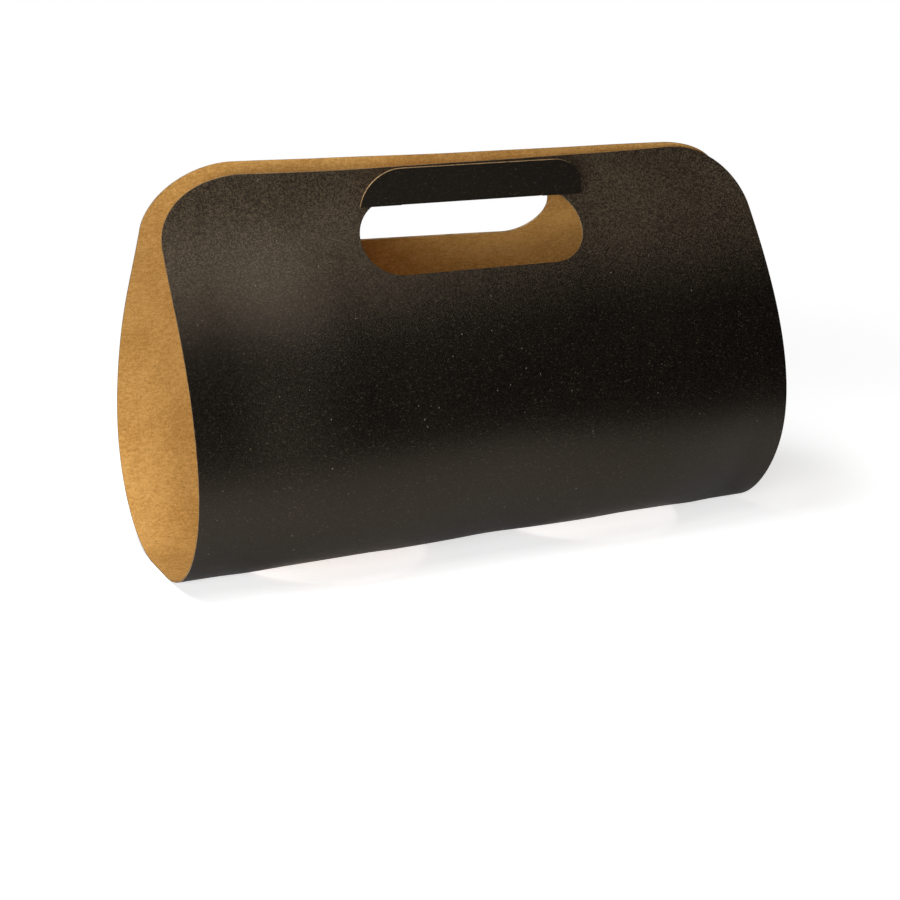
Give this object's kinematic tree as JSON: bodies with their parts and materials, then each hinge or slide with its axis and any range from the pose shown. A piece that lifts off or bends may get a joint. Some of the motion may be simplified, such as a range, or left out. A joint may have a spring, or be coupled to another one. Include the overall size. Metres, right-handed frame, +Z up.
{
  "type": "cardboard cup carrier",
  "caption": "Bent card carrier for cups: an open-topped trough with round cup holes below, a hand slot in each panel and a handle flap.",
  "frame": {"origin": "on the floor, under the middle of the carrier", "axes": "+X along the row of cups, +Y from the front panel to the back panel, +Z up"},
  "size_m": [0.24, 0.103, 0.1497],
  "materials": {
    "card": "matt black printed face over brown kraft card"
  },
  "bodies": {
    "root": {"carrier_sheet": "card"}
  },
  "joints": []
}
